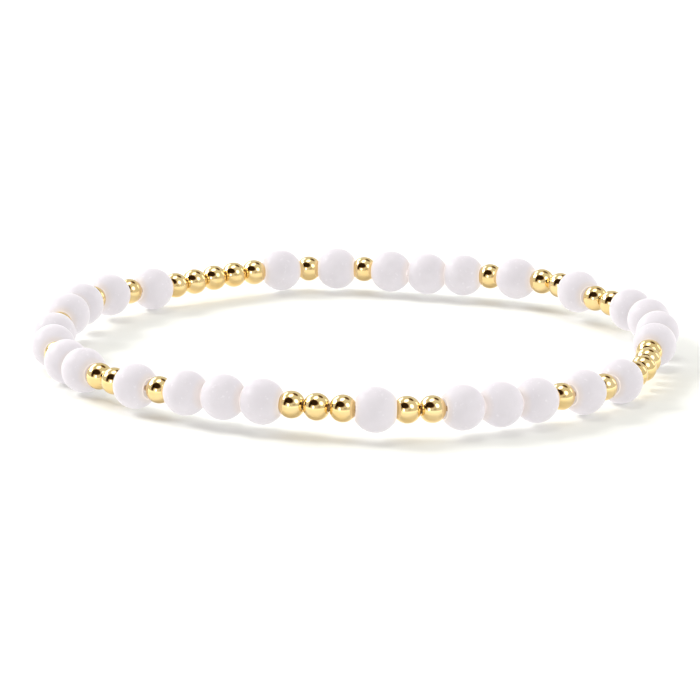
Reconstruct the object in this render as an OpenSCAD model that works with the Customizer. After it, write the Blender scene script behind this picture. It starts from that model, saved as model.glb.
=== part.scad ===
// Stretch bracelet: white beads with dished ends and small round gold beads strung on one
// elastic thread. It lies on its side as a soft, slightly wavy loop around the wrist hollow.
// Millimetres. X runs along the long way of the loop, Y to the back, Z up from the table.

/* [White beads] */
// Largest diameter of a white bead
white_diameter = 5; // [4.9:0.1:5.3]
// Length of a white bead along the thread
white_length = 4.3; // [4.1:0.05:4.5]
// Radius of the rounded edge at each end
white_edge = 0.4; // [0.3:0.1:0.5]
// How far a gold bead sinks into the dished end of a white one
nest_depth = 0.15; // [0.05:0.05:0.2]
// Room between a gold bead and the dish in which it nests
nest_clearance = 0.18; // [0.16:0.02:0.22]

/* [Gold beads] */
// Diameter of a gold bead
gold_diameter = 3; // [2.9:0.1:3.2]
// Length of a gold bead between its flattened ends
gold_length = 2.6; // [2.5:0.05:2.7]

/* [Thread] */
// Thickness of the elastic thread
thread_diameter = 0.6; // [0.5:0.05:0.65]
// Diameter of the hole through every bead
hole_diameter = 0.9; // [0.85:0.05:1]
// Gap between two beads of one kind where they come nearest
bead_clearance = 0.12; // [0.12:0.02:0.2]

/* [String] */
// Order of the beads: W is white, G is gold
bead_order = "WWGGWGWWWGGGWGGWWWGWGWGGGGWWWWGGWGGWGWWWGWGWGGGGGWGWGWWGWWG";
// Direction of the first bead from the middle of the loop, in degrees
first_bead_angle = 200.6; // [180:0.2:220]
// How much of the waviness over the table is built, from none to all
lift_amount = 1; // [0:0.1:1]

/* [Hidden] */
// Soft outline of the loop as it lies: direction in degrees counted from +X towards +Y,
// reach from the middle as a share of the mean in percent, lift over the table in mm.
outline = [
  [0, 107, 0.25], [15, 106, 0.75], [30, 100, 1], [45, 99.5, 1], [60, 94, 0.75],
  [75, 90, 0.5], [90, 93.5, 0.5], [105, 97, 0.25], [120, 95.5, 0.25], [135, 96.5, 0],
  [150, 101.5, 0.5], [165, 101, 1], [180, 103.5, 0.25], [195, 104, 0], [210, 102, 0.25],
  [225, 100.5, 0.5], [240, 98, 1], [255, 97.5, 1], [270, 100.5, 1], [285, 100.5, 0.75],
  [300, 100.5, 0.5], [315, 102.5, 0.25], [330, 104.5, 0], [345, 105.5, 0]
];
// Short kinks at the right end: direction, change of reach in percent, change of lift in mm
kinks = [[-9.5, -3, 0.3], [8, 0, 0.3], [28, -1, -0.1]];
kink_spread = 5;
reach = 1;
lift = 2;
rows = len(outline);

function wrap(a) = a - 360 * floor(a / 360);
function blend(a, b, c, d, t) =
  b + t * ((c - a) + t * ((2 * a - 5 * b + 4 * c - d) + t * (3 * b - a - 3 * c + d))) / 2;
function row(i, column) = outline[(i + rows) % rows][column];
function sum_to(list, n, i = 0, s = 0) = i == n ? s : sum_to(list, n, i + 1, s + list[i]);
function kinked(a, column) = sum_to([for (k = kinks)
  k[column] * exp(-pow((wrap(a - k[0] + 180) - 180) / kink_spread, 2))], len(kinks));
function along(a, column) = let (q = wrap(a) * rows / 360, i = floor(q)) kinked(a, column) +
  blend(row(i - 1, column), row(i, column), row(i + 1, column), row(i + 2, column), q - i);
function flat_point(a) = along(a, reach) * [cos(a), sin(a)];

// Running length of the outline, one entry for each 2 degrees, in outline units
turn = [for (a = 0; a <= 360; a = a + 2) a];
travel = [for (i = 0, s = 0; i < len(turn);
  s = s + norm(flat_point(turn[min(i + 1, len(turn) - 1)]) - flat_point(turn[i])), i = i + 1) s];
full_travel = travel[len(travel) - 1];
angle_of_travel = [for (i = [0:len(turn) - 1]) [travel[i], turn[i]]];
travel_of_angle = [for (i = [0:len(turn) - 1]) [turn[i], travel[i]]];

count = len(bead_order);
function is_white(i) = bead_order[(i + count) % count] == "W";
function bead_length(i) = is_white(i) ? white_length : gold_length;
function half_pair(i) = (bead_length(i) + bead_length(i + 1)) / 2;
// A gold bead nests in the dished end of a white one, and only equal neighbours need a gap
function seat_gap(i) = is_white(i) == is_white(i + 1) ? bead_clearance : -nest_depth;

// First pass: beads spaced as on a straight string, only to learn the bend at each junction
straight_gap = 0.08;
straight_pitch = [for (i = [0:count - 1]) half_pair(i) + seat_gap(i) + straight_gap];
straight_total = sum_to(straight_pitch, count);
first_share = lookup(first_bead_angle, travel_of_angle) / full_travel;
function point_at(s, total) = let (u = s / total + first_share,
    a = lookup((u - floor(u)) * full_travel, angle_of_travel), scaled = total / full_travel)
  [scaled * flat_point(a)[0], scaled * flat_point(a)[1], lift_amount * along(a, lift)];
bend_window = 3;
function angle_between(a, b) = acos(min(1, a * b / norm(a) / norm(b)));
junction_bend = [for (i = [0:count - 1])
  let (s = sum_to(straight_pitch, i) + straight_pitch[i] / 2,
    before = point_at(s - bend_window, straight_total), here = point_at(s, straight_total),
    after = point_at(s + bend_window, straight_total))
  angle_between(here - before, after - here) * straight_pitch[i] / bend_window];

// Second pass: neighbours keep their clearance on the inside of each bend
white_rim = 1.3;
gold_rim = 0.9;
function rim(i) = is_white(i) ? white_rim : gold_rim;
pitch = [for (i = [0:count - 1])
  half_pair(i) + seat_gap(i) + min(rim(i), rim(i + 1)) * sin(junction_bend[i])];
string_length = sum_to(pitch, count);

// Both ends of each bead's stretch of thread, halfway through the gaps to its neighbours
function gap(i) = let (j = (i + count) % count) pitch[j] - half_pair(j);
junctions = [for (i = [0:count - 1])
  point_at(sum_to(pitch, i) - bead_length(i) / 2 - gap(i - 1) / 2, string_length)];
function junction(i) = junctions[(i + count) % count];
function chord(i) = junction(i + 1) - junction(i);
function raw_centre(i) = junction(i) + chord(i) *
  (gap(i - 1) + bead_length(i)) / (gap(i - 1) + 2 * bead_length(i) + gap(i));

// The loop is centred over the origin and its lowest white bead touches the table
whites = [for (i = [0:count - 1]) if (is_white(i)) i];
golds = [for (i = [0:count - 1]) if (!is_white(i)) i];
function column_of(list, k) = [for (i = list) raw_centre(i)[k]];
function middle(list) = (min(list) + max(list)) / 2;
shift = [-middle(column_of(whites, 0)), -middle(column_of(whites, 1)),
  white_diameter / 2 - min(column_of(whites, 2))];

function two_digits(n) = n < 10 ? str("0", n) : str(n);
function white_name(k) = str("white_bead_", two_digits(k + 1));

// Half outline of a white bead: a ball cut flat at both ends, with rounded edges and dished ends
module white_profile() {
  r = white_diameter / 2;
  edge_z = white_length / 2 - white_edge;
  face = sqrt(pow(r - white_edge, 2) - edge_z * edge_z);
  ball_z = r * edge_z / (r - white_edge);
  difference() {
    union() {
      translate([0, -white_length / 2]) square([face, white_length]);
      for (side = [-1, 1]) translate([face, side * edge_z]) circle(r = white_edge, $fn = 96);
      intersection() {
        circle(r = r, $fn = 180);
        translate([0, -ball_z]) square([r, 2 * ball_z]);
      }
    }
    translate([-r, -white_length]) square([r + hole_diameter / 2, 2 * white_length]);
    for (side = [-1, 1]) translate([0, side * ((white_length + gold_length) / 2 - nest_depth)])
      circle(d = gold_diameter + 2 * nest_clearance, $fn = 120);
  }
}

module gold_profile() {
  intersection() {
    circle(d = gold_diameter, $fn = 120);
    translate([hole_diameter / 2, -gold_length / 2]) square([gold_diameter, gold_length]);
  }
}

// Puts a bead that was drawn along Z onto its stretch of the thread
module strung(i) {
  d = chord(i) / norm(chord(i));
  translate(raw_centre(i) + shift) rotate([0, acos(d[2]), atan2(d[1], d[0])]) children();
}

module white_bead(i) {
  color("white") strung(i) rotate_extrude($fn = 72) white_profile();
}

module gold_beads() {
  color("gold") for (i = golds) strung(i) rotate_extrude($fn = 60) gold_profile();
}

// The thread turns only at the junctions, so it runs down the middle of every hole
module elastic_thread() {
  sides = 8;
  points = [for (i = [0:count - 1])
    let (here = chord(i) / norm(chord(i)), before = chord(i - 1) / norm(chord(i - 1)),
      ahead = (here + before) / norm(here + before),
      out = cross(ahead, [0, 0, 1]) / norm(cross(ahead, [0, 0, 1])), up = cross(out, ahead))
    for (k = [0:sides - 1]) junction(i) + shift + thread_diameter / 2 *
      (cos(360 * k / sides) * out + sin(360 * k / sides) * up)];
  faces = [for (i = [0:count - 1], k = [0:sides - 1])
    let (j = (i + 1) % count, m = (k + 1) % sides)
    each [[i * sides + k, i * sides + m, j * sides + m], [i * sides + k, j * sides + m, j * sides + k]]];
  color("peru") polyhedron(points = points, faces = faces);
}

gold_beads();
elastic_thread();
for (k = [0:len(whites) - 1])
  white_bead(whites[k]);
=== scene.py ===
import math
import random

import bmesh
import bpy
import numpy as np
from mathutils import Matrix, Vector, noise


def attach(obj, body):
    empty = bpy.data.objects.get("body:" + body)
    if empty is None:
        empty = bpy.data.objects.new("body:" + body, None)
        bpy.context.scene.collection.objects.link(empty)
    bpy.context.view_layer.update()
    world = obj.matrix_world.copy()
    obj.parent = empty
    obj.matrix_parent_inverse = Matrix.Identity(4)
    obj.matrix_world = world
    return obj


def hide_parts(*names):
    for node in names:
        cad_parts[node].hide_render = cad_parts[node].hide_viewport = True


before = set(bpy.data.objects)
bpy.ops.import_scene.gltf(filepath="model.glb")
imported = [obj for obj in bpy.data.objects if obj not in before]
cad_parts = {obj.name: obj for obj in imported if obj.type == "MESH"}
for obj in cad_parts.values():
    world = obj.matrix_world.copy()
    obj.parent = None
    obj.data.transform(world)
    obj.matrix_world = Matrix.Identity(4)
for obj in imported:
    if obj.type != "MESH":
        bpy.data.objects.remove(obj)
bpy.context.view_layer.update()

mm = 0.001


class Wire:  # one output socket, so that shader maths reads as a formula
    def __init__(self, finish, socket):
        self.finish, self.socket = finish, socket

    def output(self, name):
        found = next(s for s in self.socket.node.outputs if name in (s.identifier, s.name))
        return Wire(self.finish, found)

    def maths(self, operation, *terms):
        return self.finish.node("ShaderNodeMath", {"operation": operation}, dict(enumerate(terms)))

    def __add__(self, other):
        return self.maths("ADD", self, other)

    def __radd__(self, other):
        return self.maths("ADD", other, self)

    def __sub__(self, other):
        return self.maths("SUBTRACT", self, other)

    def __rsub__(self, other):
        return self.maths("SUBTRACT", other, self)

    def __mul__(self, other):
        return self.maths("MULTIPLY", self, other)

    def __rmul__(self, other):
        return self.maths("MULTIPLY", other, self)

    def __pow__(self, other):
        return self.maths("POWER", self, other)

    def __rpow__(self, other):
        return self.maths("POWER", other, self)


class Finish:  # a material or world while its nodes are being made
    def __init__(self, owner):
        owner.use_nodes = True
        self.owner, self.tree = owner, owner.node_tree
        self.tree.nodes.clear()

    def node(self, kind, settings=None, sockets=None):
        made = self.tree.nodes.new(kind)
        made.location = (220 * (len(self.tree.nodes) % 8), -260 * (len(self.tree.nodes) // 8))
        for name, value in (settings or {}).items():
            setattr(made, name, value)
        for name, value in (sockets or {}).items():
            entry = made.inputs[name] if isinstance(name, int) else next(
                s for s in made.inputs if name in (s.identifier, s.name))
            if isinstance(value, Wire):
                self.tree.links.new(value.socket, entry)
            else:
                entry.default_value = (*value, 1) if entry.type == "RGBA" else value
        return Wire(self, made.outputs[0]) if made.outputs else None

    def mixed(self, share, first, second):  # colours go through Mix
        made = self.node("ShaderNodeMix", {"data_type": "RGBA"},
                         {"Factor_Float": share, "A_Color": first, "B_Color": second})
        return made.output("Result_Color")

    def measured(self, operation, *terms):  # the number that Vector Math makes of vectors
        made = self.node("ShaderNodeVectorMath", {"operation": operation}, dict(enumerate(terms)))
        return made.output("Value")

    def eased(self, value, low, high):  # 0 below low, 1 above high, smooth between
        return self.node("ShaderNodeMapRange", {"interpolation_type": "SMOOTHSTEP"},
                         {"Value": value, "From Min": low, "From Max": high})

    def cloud(self, place, scale, detail=2, shift=0):  # soft noise from 0 to 1, different on each piece
        return self.node("ShaderNodeTexNoise", {"noise_dimensions": "4D"},
                         {"Vector": place, "W": shift, "Scale": scale, "Detail": detail})

    def done(self, surface):
        self.node("ShaderNodeOutputMaterial", None, {"Surface": surface})
        return self.owner


def inScene(name, data):
    made = bpy.data.objects.new(name, data)
    bpy.context.scene.collection.objects.link(made)
    return made


def smoothMesh(name, vertices, faces):
    mesh = bpy.data.meshes.new(name)
    mesh.from_pydata([tuple(v) for v in vertices], [], faces)
    mesh.polygons.foreach_set("use_smooth", [True] * len(faces))
    return mesh


def setOnPoints(mesh, name, values):
    mesh.attributes.new(name, "FLOAT", "POINT").data.foreach_set("value", values)


def beadPlace(corners):  # middle and axis of one bead, from the triangles of its solid
    a, b, c = corners[:, 0], corners[:, 1], corners[:, 2]
    area = np.linalg.norm(np.cross(b - a, c - a), axis=1)
    total = a + b + c
    middle = (area[:, None] * total).sum(axis=0) / 3 / area.sum()
    spread = sum((area[:, None] * p).T @ p for p in (total, a, b, c)) / 12 / area.sum()
    sizes, ways = np.linalg.eigh(spread - np.outer(middle, middle))
    # Both ways across the thread are alike, so the axis is the way that differs from the other two
    axis = ways[:, 0 if sizes[1] - sizes[0] > sizes[2] - sizes[1] else 2]
    ahead = np.array([-middle[1], middle[0], 0])  # round the loop, seen from above against the clock
    return middle, axis if axis @ ahead > 0 else -axis


def triangleCorners(mesh):  # where the corners of each triangle are, and their numbers
    mesh.calc_loop_triangles()
    places = np.empty(len(mesh.vertices) * 3)
    mesh.vertices.foreach_get("co", places)
    corners = np.empty(len(mesh.loop_triangles) * 3, int)
    mesh.loop_triangles.foreach_get("vertices", corners)
    return places.reshape(-1, 3)[corners].reshape(-1, 3, 3), corners.reshape(-1, 3)


def separateBeads(node):  # the triangles of each bead in a node that holds many
    work = bmesh.new()
    work.from_mesh(node.data)
    bmesh.ops.remove_doubles(work, verts=work.verts, dist=1e-6)
    work.verts.ensure_lookup_table()
    group = [-1] * len(work.verts)
    groups = 0
    for start in work.verts:
        if group[start.index] >= 0:
            continue
        group[start.index], waiting = groups, [start]
        while waiting:
            for edge in waiting.pop().link_edges:
                for end in edge.verts:
                    if group[end.index] < 0:
                        group[end.index] = groups
                        waiting.append(end)
        groups += 1
    whole = bpy.data.meshes.new("allBeads")
    work.to_mesh(whole)
    work.free()
    corners, indices = triangleCorners(whole)
    owner = np.array(group)[indices[:, 0]]
    bpy.data.meshes.remove(whole)
    return [corners[owner == k] for k in range(groups)]


def roundTheLoop(place):  # direction of a bead from the middle of the loop
    return math.atan2(place[0][1], place[0][0])


firstGoldWay = math.pi * 1.1  # the gold beads are counted from here
whitePlaces = [beadPlace(triangleCorners(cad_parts[name].data)[0])
               for name in sorted(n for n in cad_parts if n.startswith("white_bead_"))]
goldPlaces = sorted((beadPlace(c) for c in separateBeads(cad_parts["gold_beads"])),
                    key=lambda place: (roundTheLoop(place) - firstGoldWay) % math.tau)
print("beads found:", len(whitePlaces), "white and", len(goldPlaces), "gold")


def arc(across, along, radius, start, end, steps):  # points (distance from the thread, place along it)
    angles = np.radians(np.linspace(start, end, steps))
    return np.stack([across + radius * np.cos(angles), along + radius * np.sin(angles)], axis=1)


def softened(outline, spacing, passes):  # evens the steps of a closed outline and rounds its corners
    ring = np.vstack([outline, outline[:1]])
    run = np.concatenate([[0], np.cumsum(np.linalg.norm(np.diff(ring, axis=0), axis=1))])
    even = np.linspace(0, run[-1], int(run[-1] / spacing), endpoint=False)
    ring = np.stack([np.interp(even, run, ring[:, k]) for k in (0, 1)], axis=1)
    for _ in range(passes):
        ring = (np.roll(ring, 1, axis=0) + 2 * ring + np.roll(ring, -1, axis=0)) / 4
    return ring


def thinned(ring, mostTurn, longest):  # keeps only the points that the curve needs
    step = np.roll(ring, -1, axis=0) - ring
    heading = np.arctan2(step[:, 1], step[:, 0])
    turn = np.abs((heading - np.roll(heading, 1) + math.pi) % math.tau - math.pi)
    length = np.linalg.norm(step, axis=1)
    kept, turned, gone = [], 0, 0
    for i in range(len(ring)):
        if not kept or turned + turn[i] > mostTurn or gone + length[i] > longest:
            kept.append(i)
            turned = gone = 0
        turned, gone = turned + turn[i], gone + length[i]
    return ring[kept]


def finishedRing(outline, smooth):
    ring = softened(outline, smooth["spacing"], smooth["passes"])
    return thinned(ring, math.radians(smooth["mostTurn"]), smooth["longest"])


def latheBead(name, ring, size, place, seed):
    dice = random.Random(seed)
    middle, axis = place
    segments, uneven = size["segments"], size["uneven"]
    offset = Vector([dice.uniform(-50, 50) for _ in range(3)])
    turned = Vector(axis).to_track_quat("Z", "Y").to_matrix()
    vertices, count = [], len(ring)
    for k in range(segments):
        angle = math.tau * k / segments
        for across, along in ring:
            point = Vector((across * math.cos(angle), across * math.sin(angle), along))
            wave = noise.noise(point / uneven["wave"] + offset) * 0.5 + 0.5
            reach = min(1, max(0, (across - uneven["from"]) / uneven["blend"]))
            vertices.append(turned @ (point * (1 - uneven["depth"] * wave * reach) * mm))
    faces = [(k * count + i, ((k + 1) % segments) * count + i,
              ((k + 1) % segments) * count + (i + 1) % count, k * count + (i + 1) % count)
             for k in range(segments) for i in range(count)]
    bead = inScene(name, smoothMesh(name, vertices, faces))
    bead.location = middle
    return bead


whiteBead = {
    "diameter": 5.0, "length": 4.38, "edge": 0.4, "hole": 0.9, "holeEdge": 0.1,  # mm
    "dish": 1.66,  # radius of the hollow in which a gold bead nests
    "seat": 3.30,  # from the middle of the bead to the middle of a nesting gold bead
    "segments": 96,
    "smooth": {"spacing": 0.02, "passes": 8, "mostTurn": 6, "longest": 0.3},
    "uneven": {"depth": 0.006, "wave": 2.2, "from": 1.0, "blend": 1.2},
    "paintedGlowReach": {"dish": 1.25, "hole": 0.6, "dishFrom": 0.6},  # reach of the painted glow at the ends: mm from the thread, share of the half length
    "firstSeed": 100,
}

goldBead = {
    "diameter": 3.0, "length": 2.68, "hole": 0.9, "holeEdge": 0.03,  # mm
    "segments": 80,
    "smooth": {"spacing": 0.015, "passes": 14, "mostTurn": 5.5, "longest": 0.25},
    "uneven": {"depth": 0.004, "wave": 1.6, "from": 0.8, "blend": 0.5},
    "firstSeed": 500,
}


def whiteOutline(size, dishAhead, dishBehind):  # an end that meets another white bead is plain
    half, radius, edge = size["length"] / 2, size["diameter"] / 2, size["edge"]
    hole, holeEdge = size["hole"] / 2, size["holeEdge"]
    high = half - edge
    lean = math.degrees(math.asin(high / (radius - edge)))  # where the ball hands over to the rounded edge
    face = (radius - edge) * math.cos(math.radians(lean))
    inner = math.degrees(math.asin(hole / size["dish"]))
    outer = math.degrees(math.acos((size["seat"] - half) / size["dish"]))
    side = np.vstack([arc(0, 0, radius, 0, lean, 24), arc(face, high, edge, lean, 90, 40)])
    dished = arc(0, size["seat"], size["dish"], -90 + outer, -90 + inner, 24)
    drilled = arc(hole + holeEdge, half - holeEdge, holeEdge, 90, 180, 6)
    top, bottom = (np.vstack([side, dished if dish else drilled]) for dish in (dishAhead, dishBehind))
    return finishedRing(np.vstack([top, bottom[::-1] * [1, -1]]), size["smooth"])


def goldOutline(size):
    radius, half, hole = size["diameter"] / 2, size["length"] / 2, size["hole"] / 2
    edge = math.degrees(math.asin(half / radius))
    top = np.vstack([arc(0, 0, radius, 0, edge, 60), [[hole, half - size["holeEdge"]]]])
    return finishedRing(np.vstack([top, top[::-1] * [1, -1]]), size["smooth"])


def meetsGold(spot):  # is there a gold bead within a millimetre?
    return min(np.linalg.norm(middle - spot) for middle, axis in goldPlaces) < mm


def markEnds(bead, ring, size):  # where the painted glow of the ends goes: 1 at the ends, in the dishes and in the hole, less towards the middle
    half, paintedGlowReach = max(along for across, along in ring), size["paintedGlowReach"]
    marks = []
    for across, along in ring:
        inDish = across < paintedGlowReach["dish"] and abs(along) > paintedGlowReach["dishFrom"] * half
        marks.append(1.0 if inDish or across < paintedGlowReach["hole"] else abs(along) / half)
    setOnPoints(bead.data, "towardsEnd", marks * size["segments"])


def makeWhiteBead(i, place, size):
    middle, axis = place
    ahead = axis * size["seat"] * mm
    ring = whiteOutline(size, meetsGold(middle + ahead), meetsGold(middle - ahead))
    bead = latheBead(f"milk_bead_{i + 1:02d}", ring, size, place, size["firstSeed"] + i)
    markEnds(bead, ring, size)
    return bead


def makeGoldBead(i, place, size, ring):
    return latheBead(f"gold_bead_{i + 1:02d}", ring, size, place, size["firstSeed"] + i)


whiteBeads = [makeWhiteBead(i, place, whiteBead) for i, place in enumerate(whitePlaces)]
goldRing = goldOutline(goldBead)
goldBeads = [makeGoldBead(i, place, goldBead, goldRing) for i, place in enumerate(goldPlaces)]
print("beads turned:", len(whiteBeads) + len(goldBeads))


stretchThread = {
    "thickness": 0.6,  # mm
    "sides": 20,
    "perSpan": 6,
    "goldPaintFrom": 2.8, "goldPaintBlend": 1.0,  # mm from the middle of a gold bead, for the painted gold reflection and shade on the thread
}


def threadRoute(places, perSpan):  # closed smooth curve down the middle of every hole
    points = []
    for middle, axis, half in places:
        points += [middle - axis * half * 0.5, middle + axis * half * 0.5]
    points = np.array(points)
    route = []
    for i in range(len(points)):
        a, b, c, d = (points[(i + k) % len(points)] for k in (-1, 0, 1, 2))
        for t in np.arange(perSpan) / perSpan:
            bend = t * ((2 * a - 5 * b + 4 * c - d) + t * (3 * b - a - 3 * c + d))
            route.append(b + t * ((c - a) + bend) / 2)
    return np.array(route)


def makeThread(name, places, size):
    route = threadRoute(places, size["perSpan"])
    count, sides, radius = len(route), size["sides"], size["thickness"] / 2 * mm
    ahead = np.roll(route, -1, axis=0) - np.roll(route, 1, axis=0)
    ahead /= np.linalg.norm(ahead, axis=1)[:, None]
    out = np.cross(ahead, [0, 0, 1])
    out /= np.linalg.norm(out, axis=1)[:, None]
    up = np.cross(out, ahead)
    vertices = [route[i] + radius * (math.cos(a) * out[i] + math.sin(a) * up[i])
                for i in range(count) for a in (math.tau * k / sides for k in range(sides))]
    faces = [(i * sides + k, i * sides + (k + 1) % sides,
              ((i + 1) % count) * sides + (k + 1) % sides, ((i + 1) % count) * sides + k)
             for i in range(count) for k in range(sides)]
    mesh = smoothMesh(name, vertices, faces)
    golds = np.array([middle for middle, axis in goldPlaces])
    nearest = np.linalg.norm(route[:, None] - golds[None], axis=2).min(axis=1) / mm
    # share of painted gold reflection and shade on the thread, by nearness to a gold bead
    goldPaintAmount = np.clip((size["goldPaintFrom"] - nearest) / size["goldPaintBlend"], 0, 1)
    setOnPoints(mesh, "paintedBesideGold", np.repeat(goldPaintAmount, sides))
    return inScene(name, mesh)


strung = sorted([(m, a, whiteBead["length"] / 2 * mm) for m, a in whitePlaces]
                + [(m, a, goldBead["length"] / 2 * mm) for m, a in goldPlaces], key=roundTheLoop)
thread = makeThread("stretch_thread", strung, stretchThread)
print("thread run:", len(strung), "beads on it")


milkGlass = {
    "body": (0.290, 0.268, 0.290), "cloudy": (0.320, 0.298, 0.320), "warm": (0.280, 0.255, 0.270),
    "cloudSize": 260, "fineSize": 1400, "glintSize": 2600,  # waves per metre of bead
    # Where the clouds, the warm patches, the painted glints and the painted glow of the ends begin and are
    # full
    "clouds": (0.35, 0.65), "patches": (0.5, 0.75), "paintedGlints": (0.64, 0.75), "ends": (0.75, 1.0),
    "warmShare": 0.5,
    "gloss": 0.30, "glossChange": 0.08, "bump": 0.15, "bumpDepth": 0.02 * mm,
    "depth": 3.0 * mm, "depthShare": 1.0, "depthTint": (1.0, 0.95, 0.95),  # how far light wanders inside
    "refraction": 1.5, "shine": 0.05, "polish": 0.03, "polishGloss": 0.08,
    # Painted glow: emission that stands in for light passing through the glass, even over the bead,
    # brighter in painted glint specks and at the ends, where it lifts the shade between beads
    "paintedGlow": (0.458, 0.445, 0.457), "paintedGlintGlow": (0.530, 0.518, 0.530), "paintedEndGlow": (0.475, 0.434, 0.400),
}


def makeMilkGlass(look):
    finish = Finish(bpy.data.materials.new("milkGlass"))
    place = finish.node("ShaderNodeTexCoord").output("Object")
    each = finish.node("ShaderNodeObjectInfo").output("Random")
    shift = each * 40
    cloud = finish.cloud(place, look["cloudSize"], 3, shift)
    fine = finish.cloud(place, look["fineSize"], 3, shift + 7)
    colour = finish.mixed(finish.eased(cloud, *look["clouds"]), look["body"], look["cloudy"])
    colour = finish.mixed(finish.eased(fine, *look["patches"]) * look["warmShare"], colour, look["warm"])
    ends = finish.node("ShaderNodeAttribute", {"attribute_name": "towardsEnd"}).output("Fac")
    # painted glints: small bright specks of emission that stand in for highlights
    paintedGlints = finish.eased(finish.cloud(place, look["glintSize"], 1, shift + 13), *look["paintedGlints"])
    paintedGlow = finish.mixed(paintedGlints, look["paintedGlow"], look["paintedGlintGlow"])
    # painted light at the ends, dishes and hole, which lifts the shade in the creases between beads
    paintedGlow = finish.mixed(finish.eased(ends, *look["ends"]), paintedGlow, look["paintedEndGlow"])
    bump = finish.node("ShaderNodeBump", None, {
        "Strength": look["bump"], "Distance": look["bumpDepth"], "Height": fine})
    # its emission is the painted glow, though the bead is no lamp
    shader = finish.node("ShaderNodeBsdfPrincipled", {"subsurface_method": "RANDOM_WALK"}, {
        "Emission Color": paintedGlow, "Emission Strength": 1.0,
        "Base Color": colour, "Roughness": look["gloss"] + look["glossChange"] * (fine - 0.5),
        "IOR": look["refraction"], "Specular IOR Level": look["shine"],
        "Subsurface Weight": look["depthShare"], "Subsurface Radius": look["depthTint"],
        "Subsurface Scale": look["depth"], "Coat Weight": look["polish"],
        "Coat Roughness": look["polishGloss"], "Normal": bump})
    return finish.done(shader)


polishedGold = {
    "bright": (0.905, 0.695, 0.360), "deep": (0.865, 0.632, 0.282),
    "cloudSize": 500, "rubSize": 5200,  # waves per metre of bead
    "clouds": (0.3, 0.7), "rubs": (0.45, 0.8),  # where they begin and are full
    "gloss": 0.05, "glossChange": 0.06, "bump": 0.10, "bumpDepth": 0.02 * mm,
}


def makePolishedGold(look):
    finish = Finish(bpy.data.materials.new("polishedGold"))
    place = finish.node("ShaderNodeTexCoord").output("Object")
    each = finish.node("ShaderNodeObjectInfo").output("Random")
    cloud = finish.cloud(place, look["cloudSize"], 2, each * 60)
    rub = finish.cloud(place, look["rubSize"], 2, each * 60 + 3)
    colour = finish.mixed(finish.eased(cloud, *look["clouds"]), look["bright"], look["deep"])
    bump = finish.node("ShaderNodeBump", None, {
        "Strength": look["bump"], "Distance": look["bumpDepth"], "Height": cloud})
    shader = finish.node("ShaderNodeBsdfPrincipled", None, {
        "Base Color": colour, "Metallic": 1.0, "Normal": bump,
        "Roughness": look["gloss"] + look["glossChange"] * finish.eased(rub, *look["rubs"])})
    return finish.done(shader)


elastic = {  # clear thread; beside the gold beads it is painted with their reflection and the crevice shade, elsewhere it has a painted glow
    "besideWhite": (0.86, 0.82, 0.82), "paintedBesideGold": (0.60, 0.40, 0.19),
    "shade": 0.85, "paintedGlow": (0.30, 0.285, 0.29),
    "fibreSize": 3000, "fibres": (0.35, 0.7),
    "gloss": 0.4, "glossChange": 0.1, "bump": 0.3, "bumpDepth": 0.02 * mm,
}


def makeElastic(look):
    finish = Finish(bpy.data.materials.new("clearElastic"))
    place = finish.node("ShaderNodeTexCoord").output("Object")
    fibre = finish.cloud(place, look["fibreSize"], 2)
    goldPaintShare = finish.node("ShaderNodeAttribute", {"attribute_name": "paintedBesideGold"}).output("Fac")
    # beside the gold beads the thread is painted with the gold's reflection and the crevice's shade
    tone = finish.mixed(goldPaintShare, look["besideWhite"], look["paintedBesideGold"])
    colour = finish.mixed(finish.eased(fibre, *look["fibres"]) * (1 - look["shade"]), tone, (0, 0, 0))
    bump = finish.node("ShaderNodeBump", None, {
        "Strength": look["bump"], "Distance": look["bumpDepth"], "Height": fibre})
    # the thread's emission is a painted glow, left out beside the gold beads
    shader = finish.node("ShaderNodeBsdfPrincipled", None, {
        "Base Color": colour, "Roughness": look["gloss"] + look["glossChange"] * fibre, "Normal": bump,
        "Emission Color": finish.mixed(goldPaintShare, look["paintedGlow"], (0, 0, 0)), "Emission Strength": 1.0})
    return finish.done(shader)


milkFinish = makeMilkGlass(milkGlass)
goldFinish = makePolishedGold(polishedGold)
threadFinish = makeElastic(elastic)
for i, bead in enumerate(whiteBeads):
    bead.data.materials.append(milkFinish)
    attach(bead, "root")
    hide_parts(f"white_bead_{i + 1:02d}")
for bead in goldBeads:
    bead.data.materials.append(goldFinish)
    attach(bead, "root")
    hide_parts("gold_beads")
thread.data.materials.append(threadFinish)
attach(thread, "root")
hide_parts("elastic_thread")
print("finishes set")


studio = {
    "floorSize": 6.0,  # metres
    "floorColour": (0.850, 0.855, 0.825), "floorGloss": 0.6, "floorShine": 0.2,
    "mottle": 0.97, "mottleShare": 0.3, "mottleSize": 30,
    "floorGlow": 0.075, "farGlow": 0.30, "glowTint": (1, 1, 0.97),
    "farFrom": 0.040, "farTo": 0.056,  # metres from the middle of the loop
    "fill": (0.985, 1.0, 0.97), "fillInTheDark": (1.0, 0.55, 0.25), "fillStrength": 0.77,
    "cornerFade": (0.6, 1.4),  # squared distance from a corner's middle, in half widths
}

# Directions are (turn, rise) in degrees as seen from the loop: turn 0 is the front, 90 the right
# side and 180 the back, and rise is the height over the table. Half widths are degrees too.
darkCorners = {  # of the room, as the polished beads mirror them: direction, half widths, how dark
    "overTheLens": ((-33, 48), (37, 24), 0.96),
    "besideTheLens": ((-62, 22), (13, 20), 0.92),
    "behind": ((143, 55), (15, 12), 0.85),
    "low": ((20, 14), (14, 7), 0.30),
}

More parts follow.
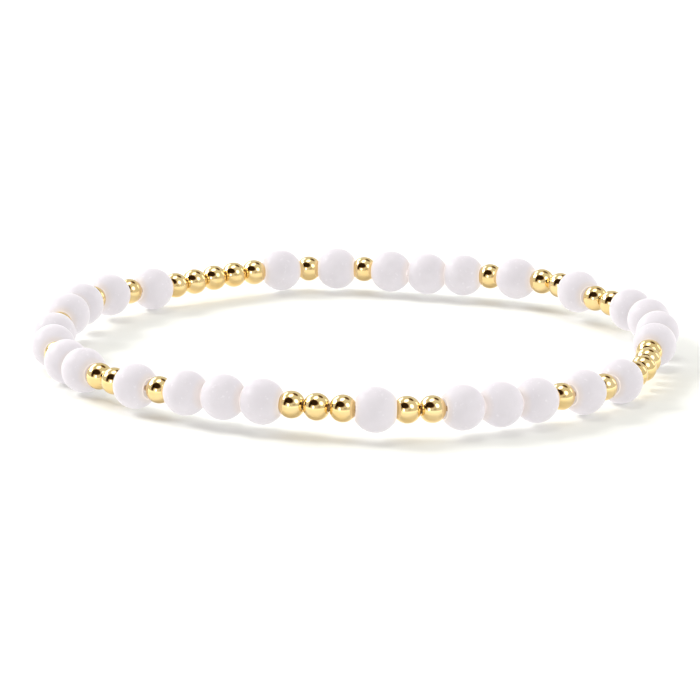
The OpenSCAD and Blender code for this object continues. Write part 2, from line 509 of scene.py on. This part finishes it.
lamps = {  # direction, distance in metres, half widths, watts, colour
    "topPanel": ((-130, 83), 1.0, (16, 13), 2.0, (1.0, 1.0, 0.99)),
    "leftPanel": ((-108, 34), 1.2, (12, 11), 10.2, (1.0, 1.0, 0.99)),
    "backLeftPanel": ((-140, 33), 1.1, (18, 12), 2.6, (1.0, 1.0, 0.98)),
    "frontRightPanel": ((49, 37), 1.2, (15, 16), 2.6, (1.0, 1.0, 0.99)),
    "frontLeftStrip": ((-28, 9), 1.3, (8, 12), 1.8, (1.0, 1.0, 1.0)),
    "rightEdge": ((118, 20), 1.3, (9, 14), 0.9, (1.0, 1.0, 1.0)),
}


def wayTo(direction):
    turn, rise = (math.radians(v) for v in direction)
    return Vector((math.sin(turn) * math.cos(rise), -math.cos(turn) * math.cos(rise), math.sin(rise)))


def makeFloor(look):
    work = bmesh.new()
    bmesh.ops.create_grid(work, x_segments=1, y_segments=1, size=look["floorSize"] / 2)
    mesh = bpy.data.meshes.new("floor")
    work.to_mesh(mesh)
    work.free()
    floor = inScene("floor", mesh)
    finish = Finish(bpy.data.materials.new("paperFloor"))
    place = finish.node("ShaderNodeTexCoord").output("Object")
    tone = look["mottleShare"] * finish.cloud(place, look["mottleSize"], 2)
    paper = finish.mixed(tone, look["floorColour"], tuple(look["mottle"] * c for c in look["floorColour"]))
    away = finish.eased(finish.measured("LENGTH", place), look["farFrom"], look["farTo"])
    near, far = (tuple(v * c for c in look["glowTint"]) for v in (look["floorGlow"], look["farGlow"]))
    shader = finish.node("ShaderNodeBsdfPrincipled", None, {
        "Base Color": paper, "Roughness": look["floorGloss"], "Specular IOR Level": look["floorShine"],
        "Emission Color": finish.mixed(away, near, far), "Emission Strength": 1.0})
    mesh.materials.append(finish.done(shader))


def makeWorld(look, corners):  # an even white room with a few dark corners
    world = bpy.data.worlds.new("room")
    bpy.context.scene.world = world
    finish = Finish(world)
    way = finish.node("ShaderNodeTexCoord").output("Generated")

    def along(axis):
        return finish.measured("DOT_PRODUCT", way, tuple(axis))

    shade = 1
    for direction, spread, depth in corners.values():
        middle = wayTo(direction)
        side = middle.cross(Vector((0, 0, 1))).normalized()
        wide, high = (math.sin(math.radians(v)) for v in spread)
        reach = (along(side) * (1 / wide)) ** 2 + (along(side.cross(middle)) * (1 / high)) ** 2
        inFront = finish.eased(along(middle), 0, 0.1)  # leaves out the mirror image on the far side
        inside = (1 - finish.eased(reach, *look["cornerFade"])) * inFront
        shade = (1 - depth * inside) * shade
    colour = finish.mixed(shade, look["fillInTheDark"], look["fill"])
    light = finish.node("ShaderNodeBackground", None, {
        "Color": colour, "Strength": shade * look["fillStrength"]})
    finish.node("ShaderNodeOutputWorld", None, {"Surface": light})


def makeLamps(table):
    middle = Vector((0, 0, 0.0025))  # of the loop
    for name, (direction, distance, spread, watts, colour) in table.items():
        lamp = bpy.data.lights.new(name, "AREA")
        lamp.shape = "ELLIPSE"
        lamp.size, lamp.size_y = (2 * distance * math.tan(math.radians(v)) for v in spread)
        lamp.energy, lamp.color = watts, colour
        stand = inScene(name, lamp)
        way = wayTo(direction)
        stand.location = middle + way * distance
        stand.rotation_euler = way.to_track_quat("Z", "Y").to_euler()


view = {
    "target": (-0.77, -4.58, 2.5), "distance": 426.8,  # mm
    "elevation": 15.16, "roll": 0.61,  # degrees
    "lens": 194.1, "sensor": 36,
    "nearest": 0.01, "farthest": 20,  # metres
}


def makeCamera(look):
    camera = bpy.data.cameras.new("camera")
    camera.sensor_width, camera.lens = look["sensor"], look["lens"]
    camera.clip_start, camera.clip_end = look["nearest"], look["farthest"]
    stand = inScene("camera", camera)
    up = math.radians(look["elevation"])
    target = Vector(look["target"]) * mm
    place = target + look["distance"] * mm * Vector((0, -math.cos(up), math.sin(up)))
    stand.matrix_world = (Matrix.Translation(place) @ Matrix.Rotation(math.pi / 2 - up, 4, "X")
                          @ Matrix.Rotation(math.radians(look["roll"]), 4, "Z"))
    bpy.context.scene.camera = stand


makeFloor(studio)
makeWorld(studio, darkCorners)
makeLamps(lamps)
makeCamera(view)
bpy.context.scene.view_settings.view_transform = "Standard"
print("studio lit")
